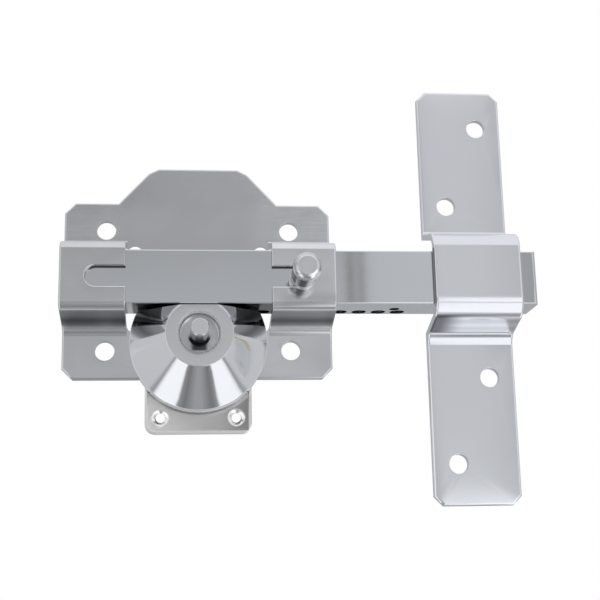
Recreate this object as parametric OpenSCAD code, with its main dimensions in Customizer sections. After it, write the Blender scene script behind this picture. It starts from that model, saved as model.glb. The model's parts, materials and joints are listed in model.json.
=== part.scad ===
// Surface deadbolt with a sliding bolt, a knob, a push button lock and an outside cylinder.
// X runs along the bolt, Z is up and the viewer stands at -Y.
// The origin is the middle of the four mounting holes on the back face of the lock plate.

/* [Lock plate] */
// Width of the plate along the bolt
plate_w = 105; // [100:0.5:115]
// Thickness of the pressed sheet
sheet_t = 2.5; // [2:0.1:2.6]
// Bottom edge below the cylinder axis
plate_down = 13.5; // [13:0.5:20]
// Shoulder height above the cylinder axis
shoulder_up = 57.5; // [56:0.5:64]
// Height of the crest above the shoulders
crest_rise = 14.7; // [8:0.1:20]
// Width of the crest along its top edge
crest_top_w = 35.4; // [24:0.2:44]
// Width of the crest at the shoulders
crest_foot_w = 63; // [52:0.5:76]
// Radius of the top corners of the crest
crest_r = 2; // [0.5:0.1:3]
// Cut of the four plate corners
corner_cut = 4.2; // [2:0.1:6]
// Diameter of the mounting holes
mount_d = 7.5; // [5:0.1:8]
// Distance between the mounting holes along the bolt
mount_dx = 72.3; // [70:0.1:78]
// Distance between the upper and the lower mounting holes
mount_dz = 48.6; // [48:0.1:50]
// Height of the lower mounting holes
mount_low = -2.3; // [-4:0.1:-1]

/* [Bridges] */
// Gap in the middle between the two bridges
bridge_gap = 55.6; // [55:0.2:58]
// Slope of the bridge sides away from square
side_slope = 15; // [8:1:16]
// Outer radius of the bridge bends
bend_r = 3.5; // [3.2:0.1:3.8]
// Radius of the bends at the lower foot of the bridges
foot_r = 3; // [1:0.1:3.5]
// Radius of the bends at their upper foot
foot_top_r = 1; // [0.8:0.1:3.5]
// Width of the knob slots
slot_w = 8.1; // [7:0.1:9]
// Relief hole radius at the window corners
relief_r = 2.9; // [2:0.1:3]
// Lower end of the side slits above the axis
slit_low = 5; // [4:0.1:7]

/* [Bolt] */
// Height of the bolt
bolt_h = 21.2; // [20:0.1:21.6]
// Thickness of the bolt away from the door
bolt_t = 18.4; // [16:0.1:19]
// Length of the bolt
bolt_len = 182.4; // [178:0.2:190]
// Reach of the thrown bolt from the cylinder axis
bolt_reach = 131.9; // [128:0.1:134]
// Middle height of the bolt
bolt_up = 23.4; // [23.3:0.1:23.6]
// Space behind the bolt
bolt_back = 0.6; // [0.3:0.1:0.8]
// Rounding of the long edges
bolt_edge = 0.6; // [0.4:0.1:0.8]
// Rounding of the bolt tip
tip_r = 1.6; // [1:0.1:3]
// Slide clearance on each side
slide_gap = 0.3; // [0.3:0.05:0.4]

/* [Drive] */
// Distance between the rack holes
rack_pitch = 7.65; // [7.5:0.05:7.7]
// Diameter of the rack holes
rack_d = 5.8; // [5.6:0.1:5.9]
// Depth of the rack holes
rack_depth = 4; // [3.5:0.1:6]
// Number of rack holes
rack_n = 13; // [13:1:15]
// Place of the first rack hole from the axis
rack_first = 78.4; // [78:0.1:78.8]
// Distance of the rack row from the back of the plate
rack_front = 4.6; // [4.4:0.1:4.8]
// Number of fingers on the drive wheel
finger_n = 10; // [9:1:10]
// Reach of the wheel fingers into the rack
finger_in = 1.8; // [1.4:0.1:2]
// Width of a finger
finger_w = 2.4; // [2:0.1:2.5]
// Thickness of the drive wheel
wheel_t = 2.8; // [2.4:0.1:2.9]
// Radius of the wheel hub in the plate
hub_r = 6.5; // [6:0.1:6.8]
// Running clearance of turned pieces
run_gap = 0.06; // [0.03:0.01:0.09]
// Clearance between pieces that move past each other
free_gap = 0.3; // [0.3:0.05:0.35]

/* [Bolt knob] */
// Place of the knob along the bolt when thrown
knob_x = 39.7; // [39:0.1:39.8]
// Height of the knob and of its slots
knob_up = 22.9; // [22.5:0.1:23.5]
// Radius of the knob neck
neck_r = 3; // [2.6:0.1:3.1]
// Radius of the skirt below the knob head
skirt_r = 4.9; // [4.2:0.1:5.2]
// Chamfer at the lower edge of the skirt
skirt_cut = 0.5; // [0.2:0.1:0.8]
// Radius of the knob head
head_r = 5.45; // [5.3:0.05:6]
// Rounding of the knob head
head_round = 3.7; // [3:0.1:4]
// Middle of the knob head in front of the plate back
head_out = 35.4; // [34:0.1:38]
// Half thickness of the head up to its flat end
head_flat = 2.9; // [2.4:0.1:2.9]
// Radius of the stud that holds the knob
stud_r = 1.9; // [1.5:0.1:2]
// Depth of the stud in the bolt
stud_in = 9; // [6:0.5:12]
// Depth of the stud in the knob
stud_up = 11; // [8:0.5:13]

/* [Cone] */
// Radius of the cone at its rim
cone_r = 26.5; // [26:0.1:27]
// Height of the straight rim wall
rim_h = 5.6; // [5:0.1:7]
// Rounding of the rim
rim_round = 1.3; // [1:0.1:2]
// Radius of the flat front ring
ring_r = 12.7; // [12:0.1:13.5]
// Front ring in front of the plate back
ring_out = 25.9; // [25:0.1:28]
// Wall of the cone
cone_wall = 1.6; // [1.4:0.1:1.8]
// Radius of the recess round the button
recess_r = 7.3; // [6.8:0.1:8]
// Depth of the recess
recess_in = 5.1; // [4:0.1:5.2]
// Floor of the recess
floor_t = 1.5; // [1.2:0.1:1.6]
// Height of the top cut at the front ring
cut_front = 10.7; // [10.4:0.1:11]
// Height of the top cut at the plate
cut_back = 12.4; // [12.2:0.1:12.4]
// Radius of the lugs that take the rivets
lug_r = 3.2; // [3:0.1:3.4]
// Distance of the rivets inside the rim
rivet_in = 4.5; // [4.3:0.1:4.6]
// Clearance between the rivet lugs and the button bracket
lug_gap = 0.8; // [0.4:0.1:1.5]
// Radius of the rivets
rivet_r = 1.5; // [1.2:0.1:1.6]
// Length of the rivets
rivet_len = 8; // [6:0.5:8]

/* [Push button] */
// Radius of the button
button_r = 3.43; // [3.2:0.01:3.5]
// Button end in front of the plate back
button_out = 36.3; // [35:0.1:38]
// Travel of the button
button_travel = 3.2; // [2.8:0.1:3.2]
// Lift of the locking pin for each millimetre of button travel
pin_ratio = 0.75; // [0.7:0.01:0.78]
// Radius of the locking pin
pin_r = 1.6; // [1.4:0.1:1.7]
// Locking pin in front of the plate back
pin_front = 9.7; // [9.6:0.1:9.8]
// Radius of the pin bush
bush_r = 2.6; // [2.4:0.1:2.7]
// Height where the bush starts
bush_up = 7.5; // [7:0.1:8]
// Extra radius of the pin hole in the bolt
lock_gap = 0.4; // [0.3:0.1:0.5]
// Depth of the pin hole in the bolt
lock_depth = 3.4; // [3:0.1:5]
// Thickness of the button bracket
bracket_t = 0.8; // [0.6:0.1:0.9]
// Clearance between the drive wheel and the bracket legs
bracket_gap = 1.8; // [0.6:0.1:2]
// Width of the bracket
bracket_w = 8; // [7:0.5:9]
// Wire of the button spring
spring_wire = 0.5; // [0.4:0.05:0.6]

/* [Back plate] */
// Width of the back plate
back_w = 41.4; // [40:0.2:43]
// Lower edge of the back plate below the axis
back_down = 34.4; // [33:0.1:36]
// Upper edge of the back plate above the axis
back_top = 16.5; // [16.2:0.1:18]
// Thickness of the back plate
back_t = 1.8; // [1.6:0.1:2]
// Corner radius of the back plate
back_r = 4; // [3:0.5:6]
// Height of the raised border
border_h = 0.5; // [0.3:0.1:0.7]
// Width of the raised border
border_w = 1.2; // [0.8:0.1:1.4]
// Distance between the two screw holes
back_dx = 29.3; // [28:0.1:30]
// Height of the two screw holes
back_hole_up = -28; // [-28.5:0.1:-27.8]
// Diameter of the two screw holes
back_hole_d = 3.6; // [3.2:0.1:4]
// Diameter of their countersinks
back_sink_d = 6.7; // [6:0.1:7]
// Straight part of the two screw holes behind the countersink
sink_land = 0.4; // [0.3:0.1:0.6]

/* [Cylinder] */
// Length of the cylinder through the door
cyl_len = 46; // [40:0.5:60]
// Radius of the cylinder body
cyl_r = 15.5; // [15:0.1:17]
// Radius of the outside ring
collar_r = 18; // [17.8:0.1:20]
// Thickness of the outside ring
collar_t = 5; // [4:0.5:7]
// Radius of the key plug
plug_r = 6.4; // [6:0.1:6.6]
// Radius of the plug head
plug_head_r = 8; // [7.6:0.1:8.4]
// Thickness of the plug head
plug_head_t = 2; // [1.6:0.1:3]
// Width of the keyway
key_w = 2.4; // [2:0.1:2.6]
// Height of the keyway
key_h = 8; // [7:0.1:8.4]
// Length of the keyway from the outside end
key_len = 34; // [32:1:36]
// Number of pin stacks
stack_n = 5; // [4:1:5]
// Distance between the pin stacks
stack_pitch = 5; // [4.6:0.1:5.4]
// Place of the first pin stack from the outside end
stack_first = 10; // [9:0.5:12]
// Radius of the pins
tumbler_r = 1.4; // [1.2:0.05:1.5]
// Height of the lower pins
key_pin_h = 4.2; // [3.8:0.1:4.6]
// Height of the upper pins
driver_h = 3.4; // [3:0.1:3.6]
// Height of the tumbler springs
tumbler_spring_h = 3; // [2.6:0.1:3.2]
// Width of the tailpiece
tail_w = 8; // [6:0.2:9]
// Thickness of the tailpiece
tail_t = 2; // [1.6:0.1:2.4]
// Radius of the connecting screws
screw_r = 1.9; // [1.6:0.1:2]
// Distance of the connecting screws from the axis
screw_x = 11.7; // [11.5:0.1:12]
// Depth of the connecting screws in the cylinder
screw_in = 14; // [10:1:20]

/* [Strike] */
// Width of the strike
strike_w = 34.7; // [30:0.1:40]
// Place of the strike along the bolt
strike_x = 108; // [100:0.5:110]
// Middle height of the strike
strike_up = 22.1; // [20:0.1:24]
// Half length of the strike
strike_half = 85.5; // [80:0.5:95]
// Cut of the strike corners
strike_cut = 3.6; // [2:0.1:6]
// Half height of the flat front of the strike bridge
strike_flat = 10.7; // [10.6:0.1:11.5]
// Middle height of the strike bridge
strike_mid = 24.4; // [24.2:0.1:24.5]
// Outer radius of the strike bends
strike_bend = 7; // [6:0.1:7.2]
// Radius of the bend at the lower foot of the strike bridge
strike_foot = 4.8; // [3:0.1:6]
// Radius of the bend at its upper foot
strike_foot_top = 1.5; // [1:0.1:6]
// Sideways step of the strike holes
strike_step = 7.1; // [6:0.1:8]
// Height of the outer strike holes from the middle
strike_far = 69.4; // [66:0.1:74]
// Height of the inner strike holes from the middle
strike_near = 35.4; // [35:0.1:40]

/* [Hidden] */
$fn = 72;
// Turned pieces that carry a bore, a pin or a joint
fine = 96;
// A small overlap for cuts that must break through a face
cut = 0.1;
// Bends are this much rounder than their straight sides ask, so that each arc crosses them cleanly
bend_lap = 0.003;
// Length by which the screw holes run past the screw at each end
screw_spare = 1;
// Depth to which the webs at the foot of a bridge reach into the sheet
web_lap = 0.5;
nickel = [0.66, 0.67, 0.68];
bright = [0.78, 0.79, 0.8];
satin = [0.66, 0.65, 0.63];
steel = [0.55, 0.56, 0.58];
brass = [0.76, 0.63, 0.36];
plate_half = plate_w / 2;
gap_half = bridge_gap / 2;
bolt_low = bolt_up - bolt_h / 2;
bolt_high = bolt_up + bolt_h / 2;
bolt_front = bolt_back + bolt_t;
bridge_out = bolt_front + slide_gap + sheet_t;
// The bend centre sits outside the rounded bolt edge so that the bolt clears the inner bend
bridge_flat = bolt_h / 2 - bolt_edge + 0.05;
slot_end = knob_x + neck_r + slide_gap - slot_w / 2;
window_rise = 3.1;
window_top = bolt_high + slide_gap + window_rise;
window_low = bolt_low - 1.2;
mount_high = mount_low + mount_dz;
axis_drop = (mount_low + mount_high) / 2;
wheel_back = rack_front - wheel_t / 2;
wheel_front = rack_front + wheel_t / 2;
pitch_r = finger_n * rack_pitch / (2 * PI);
tip_reach = bolt_low + finger_in;
wheel_r = bolt_low - 1.6;
// The finger that points up stands in the rack hole next to the axis
finger_turn = (rack_first - rack_pitch * floor(rack_first / rack_pitch)) / pitch_r * 180 / PI;
bolt_travel = finger_n * rack_pitch;
cut_lean = atan((cut_back - cut_front) / (ring_out - sheet_t));
rivet_up = -(bracket_w / 2 + lug_r + lug_gap);
rivet_x = sqrt(pow(cone_r - rivet_in, 2) - pow(rivet_up, 2));
bracket_x = tip_reach + bracket_gap + bracket_t;
floor_out = ring_out - recess_in;
floor_in = floor_out - floor_t;
button_hole_r = button_r + run_gap;
clip_t = 0.8;
clip_rim = 1.9;
clip_r = button_r + clip_rim;
clip_out = floor_in - free_gap;
groove_r = button_r - 0.7;
nose_drop = button_travel * pin_ratio;
nose_r = button_r - nose_drop;
// The nose starts under the pin and is button_travel long
nose_out = pin_front + button_travel;
pin_low = nose_r + 0.8;
pin_tip_r = 0.5;
cut_at_pin = cut_front + (ring_out - pin_front) * tan(cut_lean);
pin_high = bolt_low - slide_gap - 0.15;
bracket_out = pin_front + pin_r + 2 * free_gap + bracket_t;
spring_r = button_r + 0.4;
spring_len = clip_out - clip_t - bracket_out;
screw_head_r = 3.2;
screw_head_t = 1.2;
head_extra = 1.2;
ring_lip = 1.1;
ring_groove = 0.8;
hub_end = -back_t + 0.4;
wheel_clip_back = hub_end + 0.1;
back_bore_r = hub_r + ring_lip + 0.5;
plug_front = -back_t - 0.5;
plug_clip_back = plug_front - clip_t - 0.3;
clip_pocket = plug_clip_back - free_gap;
cyl_end = -back_t - cyl_len;
tail_in = 5;
shear = 0.1;
chamber_r = tumbler_r + run_gap;
chamber_top = plug_r + shear + driver_h + tumbler_spring_h;
key_top = plug_r - key_pin_h + 0.6;
finger_slot = sqrt(pow(tip_reach, 2) - pow(cut_back - 2 * cone_wall, 2))
              + finger_w / 2 + free_gap;

// Every piece is drawn round the cylinder axis and then set at its place below the origin
module on_axis() {
    translate([0, 0, -axis_drop])
        children();
}

// A flat shape in X and Z, pressed forward from depth d by t
module slab(d, t) {
    translate([0, -d, 0])
        rotate([90, 0, 0])
            linear_extrude(t)
                children();
}

// A turned piece along Y, from depth d forward by len
module rod(d, len, r, r2 = -1) {
    translate([0, -d, 0])
        rotate([90, 0, 0])
            cylinder(h = len, r1 = r, r2 = r2 < 0 ? r : r2, $fn = fine);
}

// A profile drawn as radius and depth, turned round the Y axis
module turned() {
    rotate([90, 0, 0])
        rotate_extrude($fn = fine)
            children();
}

// A profile drawn as height and depth, run along X
module along(x, len) {
    translate([x, 0, 0])
        rotate([180, -90, 0])
            linear_extrude(len)
                children();
}

// A hat section with rounded shoulders, half width w at the flat, height h, shoulder radius r
module hat(w, h, r, slope) {
    x_side = w + r * cos(slope);
    y_side = h - r + r * sin(slope);
    foot = x_side + y_side * tan(slope);
    polygon([[-foot, 0], [foot, 0], [x_side, y_side], [w, h],
             [-w, h], [-x_side, y_side]]);
    for (s = [-1, 1])
        translate([s * w, h - r])
            circle(r + bend_lap);
}

// The web that fills the foot of the hat up to its fillet, on one side
module foot_web(w, h, r, slope, base, fillet) {
    side = w + r * cos(slope) + (h - r + r * sin(slope) - base) * tan(slope);
    mid = side - fillet * tan(slope) + fillet / cos(slope);
    in_x = mid - fillet * cos(slope);
    in_y = base + fillet - fillet * sin(slope);
    difference() {
        polygon([[side - web_lap, base - web_lap], [mid, base - web_lap], [mid, base],
                 [in_x, in_y], [in_x - web_lap, in_y]]);
        translate([mid, base + fillet])
            circle(fillet + bend_lap);
    }
}

// The metal of a strap that is pressed forward over the bolt
module strap(w, h, r, slope, low_fillet, top_fillet) {
    difference() {
        union() {
            hat(w, h, r, slope);
            foot_web(w, h, r, slope, sheet_t, top_fillet);
            mirror([1, 0])
                foot_web(w, h, r, slope, sheet_t, low_fillet);
        }
        hat_inner(w, h, r, slope);
    }
}

// The hollow under the strap, one sheet thickness inside it
module hat_inner(w, h, r, slope) {
    ri = r - sheet_t;
    hi = h - sheet_t;
    x_side = w + ri * cos(slope);
    y_side = hi - ri + ri * sin(slope);
    low = -sheet_t - 1;
    foot = x_side + (y_side - low) * tan(slope);
    polygon([[-foot, low], [foot, low], [x_side, y_side], [w, hi],
             [-w, hi], [-x_side, y_side]]);
    for (s = [-1, 1])
        translate([s * w, hi - ri])
            circle(ri + bend_lap);
}

// Half width of the strap foot where it meets the front of the sheet
function foot_half(w, h, r, slope) =
    w + r * cos(slope) + (h - r + r * sin(slope) - sheet_t) * tan(slope);

module plate_outline() {
    top = shoulder_up + crest_rise;
    foot = crest_foot_w / 2;
    crest = crest_top_w / 2;
    c = corner_cut;
    polygon([[-plate_half + c, -plate_down], [plate_half - c, -plate_down],
             [plate_half, -plate_down + c], [plate_half, shoulder_up - c],
             [plate_half - c, shoulder_up], [foot, shoulder_up],
             [crest + crest_r, top - crest_r], [crest - crest_r, top],
             [-crest + crest_r, top], [-crest - crest_r, top - crest_r],
             [-foot, shoulder_up], [-plate_half + c, shoulder_up],
             [-plate_half, shoulder_up - c], [-plate_half, -plate_down + c]]);
}

module lock_plate() {
    foot = foot_half(bridge_flat, bridge_out, bend_r, side_slope);
    color(nickel)
    on_axis()
    difference() {
        union() {
            difference() {
                slab(0, sheet_t)
                    plate_outline();
                for (s = [-1, 1])
                    translate([s * (gap_half + plate_half + 1) / 2, 0, bolt_up])
                        cube([plate_half + 1 - gap_half, 3 * sheet_t, 2 * foot], center = true);
            }
            for (x = [-plate_half, gap_half])
                translate([0, 0, bolt_up])
                    along(x, plate_half - gap_half)
                        strap(bridge_flat, bridge_out, bend_r, side_slope, foot_r, foot_top_r);
        }
        // Window behind the bolt with its relief holes and side slits
        slab(-cut, sheet_t + 2 * cut) {
            translate([-gap_half + relief_r, window_low])
                square([2 * (gap_half - relief_r), window_top - window_low]);
            for (s = [-1, 1]) {
                translate([s * (gap_half - relief_r), window_top])
                    circle(relief_r);
                translate([s * (gap_half - relief_r), slit_low + relief_r])
                    circle(relief_r);
                translate([s * (gap_half - relief_r) - relief_r, slit_low + relief_r])
                    square([2 * relief_r, window_top - slit_low - relief_r]);
            }
        }
        // Knob slots, open toward the middle
        for (s = [-1, 1])
            slab(bridge_out - sheet_t - slide_gap, sheet_t + 2 * slide_gap)
                translate([s * slot_end, knob_up]) {
                    circle(d = slot_w);
                    translate([s > 0 ? -slot_end : 0, -slot_w / 2])
                        square([slot_end, slot_w]);
                }
        for (s = [-1, 1], z = [mount_low, mount_high])
            translate([s * mount_dx / 2, 0, z])
                rod(-cut, sheet_t + 2 * cut, mount_d / 2);
        rod(-cut, sheet_t + 2 * cut, hub_r + run_gap);
        for (s = [-1, 1])
            translate([s * rivet_x, 0, rivet_up]) {
                rod(-cut, sheet_t + 2 * cut, rivet_r + run_gap);
                rod(-cut, 1 + cut, rivet_r + head_extra + run_gap);
            }
    }
}

module bolt_section() {
    e = bolt_edge;
    for (z = [-1, 1], y = [0, 1])
        translate([z * (bolt_h / 2 - e), y == 0 ? bolt_back + e : bolt_front - e])
            circle(e);
    translate([-bolt_h / 2 + e, bolt_back])
        square([bolt_h - 2 * e, bolt_t]);
    translate([-bolt_h / 2, bolt_back + e])
        square([bolt_h, bolt_t - 2 * e]);
}

module bolt() {
    color(bright)
    on_axis()
    difference() {
        translate([0, 0, bolt_up])
            along(bolt_reach - bolt_len, bolt_len)
                bolt_section();
        // Rounded front edge of the tip
        translate([bolt_reach - tip_r, -bolt_front + tip_r, bolt_low - cut])
            difference() {
                translate([0, -tip_r - 1, 0])
                    cube([tip_r + 1, tip_r + 1, bolt_h + 2 * cut]);
                cylinder(h = bolt_h + 2 * cut, r = tip_r);
            }
        // Row of rack holes in the underside
        for (i = [0:rack_n - 1])
            translate([rack_first - i * rack_pitch, -rack_front, bolt_low - cut])
                cylinder(h = rack_depth + cut, d = rack_d, $fn = fine);
        // Pin holes for the thrown and the drawn bolt
        for (x = [0, bolt_travel])
            translate([x, -pin_front, bolt_low - cut])
                cylinder(h = lock_depth + cut, r = pin_r + lock_gap, $fn = fine);
        translate([knob_x, 0, knob_up])
            rod(bolt_front - stud_in, stud_in + cut, stud_r + run_gap);
    }
}

module bolt_knob() {
    inner = head_r - head_round;
    skirt_low = bridge_out + slide_gap;
    color(bright)
    on_axis()
    translate([knob_x, 0, knob_up])
        difference() {
            turned()
                union() {
                    translate([0, bolt_front])
                        square([neck_r, head_out - bolt_front]);
                    polygon([[0, skirt_low], [skirt_r - skirt_cut, skirt_low],
                             [skirt_r, skirt_low + skirt_cut], [skirt_r, head_out],
                             [0, head_out]]);
                    intersection() {
                        union() {
                            translate([inner, head_out])
                                circle(head_round);
                            translate([0, head_out - head_round])
                                square([inner, 2 * head_round]);
                        }
                        translate([0, head_out - head_round])
                            square([head_r, head_round + head_flat]);
                    }
                }
            rod(bolt_front - cut, stud_up + cut, stud_r + run_gap);
        }
}

module knob_stud() {
    color(steel)
    on_axis()
    translate([knob_x, 0, knob_up])
        rod(bolt_front - stud_in, stud_in + stud_up, stud_r);
}

// Profile of a cone with a straight rim wall, a rounded rim and a flat front
module cone_profile(rim, wall_top, edge, front_r, front) {
    dx = front_r - (rim - edge);
    dy = front - wall_top;
    turn = atan2(dy, dx) - acos(edge / sqrt(dx * dx + dy * dy));
    polygon([[0, sheet_t], [rim, sheet_t], [rim, wall_top],
             [rim - edge + edge * cos(turn), wall_top + edge * sin(turn)],
             [front_r, front], [0, front]]);
    translate([rim - edge, wall_top])
        circle(edge + bend_lap);
}

// Everything above the leaning top cut, moved down by drop
module above_cut(drop) {
    translate([0, -ring_out, cut_front - drop])
        rotate([cut_lean, 0, 0])
            translate([-2 * cone_r, -cone_r, 0])
                cube([4 * cone_r, 4 * cone_r, 2 * cone_r]);
}

module cone_rose() {
    rim_top = sheet_t + rim_h;
    inner_rim = cone_r - cone_wall;
    color(bright)
    on_axis()
    difference() {
        union() {
            difference() {
                turned()
                    cone_profile(cone_r, rim_top, rim_round, ring_r, ring_out);
                difference() {
                    union() {
                        turned()
                            cone_profile(inner_rim, rim_top - cone_wall / 2, rim_round / 2,
                                         ring_r - cone_wall, ring_out - cone_wall);
                        rod(sheet_t - cut, 2 * cut, inner_rim);
                    }
                    above_cut(cone_wall);
                    // Cup round the recess
                    rod(floor_in, ring_out, recess_r + floor_t);
                }
                above_cut(0);
            }
            for (s = [-1, 1])
                translate([s * rivet_x, 0, rivet_up])
                    rod(sheet_t, rim_h + rim_round, lug_r);
        }
        rod(floor_out, ring_out, recess_r);
        rod(floor_in - cut, floor_t + 2 * cut, button_hole_r);
        // Slot in the top wall for the wheel fingers
        translate([0, -(sheet_t + wheel_front + 2 * free_gap) / 2, bolt_low - cone_wall])
            cube([2 * finger_slot, wheel_front + 2 * free_gap - sheet_t + 2 * cut,
                  4 * cone_wall], center = true);
        translate([0, -pin_front, bush_up])
            cylinder(h = bolt_low, r = bush_r + run_gap, $fn = fine);
        for (s = [-1, 1])
            translate([s * rivet_x, 0, rivet_up])
                rod(sheet_t - cut, rivet_len - sheet_t + cut, rivet_r + run_gap);
    }
}

module rose_rivets() {
    color(steel)
    on_axis()
    for (s = [-1, 1])
        translate([s * rivet_x, 0, rivet_up]) {
            rod(0, rivet_len, rivet_r);
            rod(0, 1, rivet_r + head_extra);
        }
}

module push_button() {
    color(bright)
    on_axis()
    difference() {
        turned()
            polygon([[0, pin_front - 0.2], [nose_r, pin_front - 0.2], [nose_r, pin_front],
                     [button_r, nose_out], [button_r, button_out - 0.5],
                     [button_r - 0.5, button_out], [0, button_out]]);
        difference() {
            rod(clip_out - clip_t, clip_t, button_r + 1);
            rod(clip_out - clip_t - cut, clip_t + 2 * cut, groove_r);
        }
    }
}

module button_clip() {
    color(steel)
    on_axis()
    difference() {
        rod(clip_out - clip_t, clip_t, clip_r);
        rod(clip_out - clip_t - cut, clip_t + 2 * cut, groove_r + run_gap);
    }
}

// Hidden spring, drawn as the plain sleeve that its coils fill
module button_spring() {
    color(steel)
    on_axis()
    difference() {
        rod(bracket_out, spring_len, spring_r + spring_wire);
        rod(bracket_out - cut, spring_len + 2 * cut, spring_r);
    }
}

module button_bracket() {
    leg = bracket_out - sheet_t;
    color(steel)
    on_axis()
    difference() {
        union() {
            translate([-bracket_x, -bracket_out, -bracket_w / 2])
                cube([2 * bracket_x, bracket_t, bracket_w]);
            for (s = [0, 1])
                mirror([s, 0, 0])
                    translate([bracket_x - bracket_t, -bracket_out, -bracket_w / 2])
                        cube([bracket_t, leg, bracket_w]);
        }
        rod(bracket_out - bracket_t - cut, bracket_t + 2 * cut, button_hole_r);
    }
}

module lock_pin() {
    color(steel)
    on_axis()
    translate([0, -pin_front, pin_low]) {
        translate([0, 0, pin_r - pin_tip_r])
            cylinder(h = pin_high - pin_low - pin_r + pin_tip_r, r = pin_r, $fn = fine);
        cylinder(h = pin_r - pin_tip_r, r1 = pin_tip_r, r2 = pin_r, $fn = fine);
    }
}

module pin_bush() {
    color(brass)
    on_axis()
    translate([0, -pin_front, bush_up])
        difference() {
            cylinder(h = cut_at_pin - bush_up - 0.2, r = bush_r, $fn = fine);
            translate([0, 0, -cut])
                cylinder(h = bolt_low, r = pin_r + run_gap, $fn = fine);
        }
}

module drive_wheel() {
    color(brass)
    on_axis()
    difference() {
        union() {
            slab(wheel_back, wheel_t) {
                circle(wheel_r, $fn = fine);
                for (i = [0:finger_n - 1])
                    rotate(-finger_turn - i * 360 / finger_n)
                        translate([-finger_w / 2, wheel_r / 2])
                            square([finger_w, tip_reach - wheel_r / 2]);
            }
            rod(hub_end, wheel_back - hub_end, hub_r);
        }
        tail_slot();
        groove(wheel_clip_back, hub_r);
    }
}

// The slot that takes the tailpiece
module tail_slot() {
    cube([tail_w + 2 * run_gap, 4 * wheel_front, tail_t + 2 * run_gap], center = true);
}

// A groove for a retaining ring, from depth d, round a shaft of radius r
module groove(d, r) {
    difference() {
        rod(d, clip_t, r + 1);
        rod(d - cut, clip_t + 2 * cut, r - ring_groove);
    }
}

// A retaining ring in such a groove
module ring_clip(d, r) {
    difference() {
        rod(d, clip_t, r + ring_lip);
        rod(d - cut, clip_t + 2 * cut, r - ring_groove + run_gap);
    }
}

module wheel_clip() {
    color(steel)
    on_axis()
    ring_clip(wheel_clip_back, hub_r);
}

module plug_clip() {
    color(steel)
    on_axis()
    ring_clip(plug_clip_back, plug_r);
}

module tailpiece() {
    color(steel)
    on_axis()
    translate([-tail_w / 2, -wheel_front, -tail_t / 2])
        cube([tail_w, wheel_front - plug_front + tail_in, tail_t]);
}

module back_shape(inset) {
    w = back_w / 2 - inset;
    low = -back_down + inset;
    top = back_top - inset;
    r = back_r - inset;
    for (s = [-1, 1], z = [low + r, top - r])
        translate([s * (w - r), z])
            circle(r);
    translate([-w, low + r])
        square([2 * w, top - low - 2 * r]);
    translate([-w + r, low])
        square([2 * (w - r), top - low]);
}

module back_plate() {
    color(satin)
    on_axis()
    difference() {
        slab(-back_t, back_t)
            back_shape(0);
        // Lowered field inside the border
        difference() {
            slab(-border_h, border_h + cut)
                back_shape(border_w);
            translate([-back_w, -back_t, -plate_down])
                cube([2 * back_w, 2 * back_t, 2 * back_top + plate_down]);
        }
        for (s = [-1, 1])
            translate([s * back_dx / 2, 0, back_hole_up]) {
                rod(-back_t - cut, back_t + 2 * cut, back_hole_d / 2);
                rod(-back_t + sink_land, back_t - sink_land - border_h, back_hole_d / 2,
                    back_sink_d / 2);
                rod(-border_h, border_h + cut, back_sink_d / 2);
            }
        rod(-back_t - cut, back_t + 2 * cut, back_bore_r);
        for (s = [-1, 1])
            translate([s * screw_x, 0, 0])
                connecting_hole();
    }
}

// The hole that a connecting screw and its flat head fill in the back plate
module connecting_hole() {
    rod(-back_t - cut, back_t + 2 * cut, screw_r + run_gap);
    rod(-screw_head_t, screw_head_t + cut, screw_head_r + run_gap);
}

module connecting_screws() {
    color(steel)
    on_axis()
    for (s = [-1, 1])
        translate([s * screw_x, 0, 0]) {
            rod(-back_t - screw_in, back_t + screw_in, screw_r);
            rod(-screw_head_t, screw_head_t, screw_head_r);
        }
}

module cylinder_body() {
    color(brass)
    on_axis()
    difference() {
        rod(cyl_end, cyl_len, cyl_r);
        rod(cyl_end - cut, cyl_len + 2 * cut, plug_r + run_gap);
        rod(cyl_end - cut, plug_head_t + cut, plug_head_r + run_gap);
        rod(clip_pocket, cyl_len, plug_r + ring_lip + free_gap);
        for (s = [-1, 1])
            translate([s * screw_x, 0, 0])
                rod(-back_t - screw_in - screw_spare, screw_in + 2 * screw_spare, screw_r + run_gap);
        stacks(plug_r / 2, chamber_top - plug_r / 2, chamber_r);
    }
}

// One upright round for each pin stack, from height z up by h
module stacks(z, h, r) {
    for (i = [0:stack_n - 1])
        translate([0, -cyl_end - stack_first - i * stack_pitch, z])
            cylinder(h = h, r = r);
}

module cylinder_collar() {
    color(bright)
    on_axis()
    difference() {
        rod(cyl_end, collar_t, collar_r);
        rod(cyl_end - cut, collar_t + 2 * cut, cyl_r + run_gap);
    }
}

module key_plug() {
    color(brass)
    on_axis()
    difference() {
        union() {
            rod(cyl_end, plug_head_t - free_gap, plug_head_r);
            rod(cyl_end, plug_front - cyl_end, plug_r);
        }
        groove(plug_clip_back, plug_r);
        stacks(key_top - 1, plug_r, chamber_r);
        translate([-key_w / 2, -cyl_end - key_len, key_top - key_h])
            cube([key_w, key_len + cut, key_h]);
        translate([-tail_w / 2 - run_gap, -plug_front - cut, -tail_t / 2 - run_gap])
            cube([tail_w + 2 * run_gap, tail_in + run_gap + cut, tail_t + 2 * run_gap]);
    }
}

module key_pins() {
    color(brass)
    on_axis()
    stacks(plug_r - key_pin_h, key_pin_h - shear, tumbler_r);
}

module driver_pins() {
    color(brass)
    on_axis()
    stacks(plug_r + shear, driver_h, tumbler_r);
}

// Hidden springs, drawn as plain rods
module tumbler_springs() {
    color(steel)
    on_axis()
    stacks(plug_r + shear + driver_h, tumbler_spring_h, tumbler_r * 0.9);
}

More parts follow.
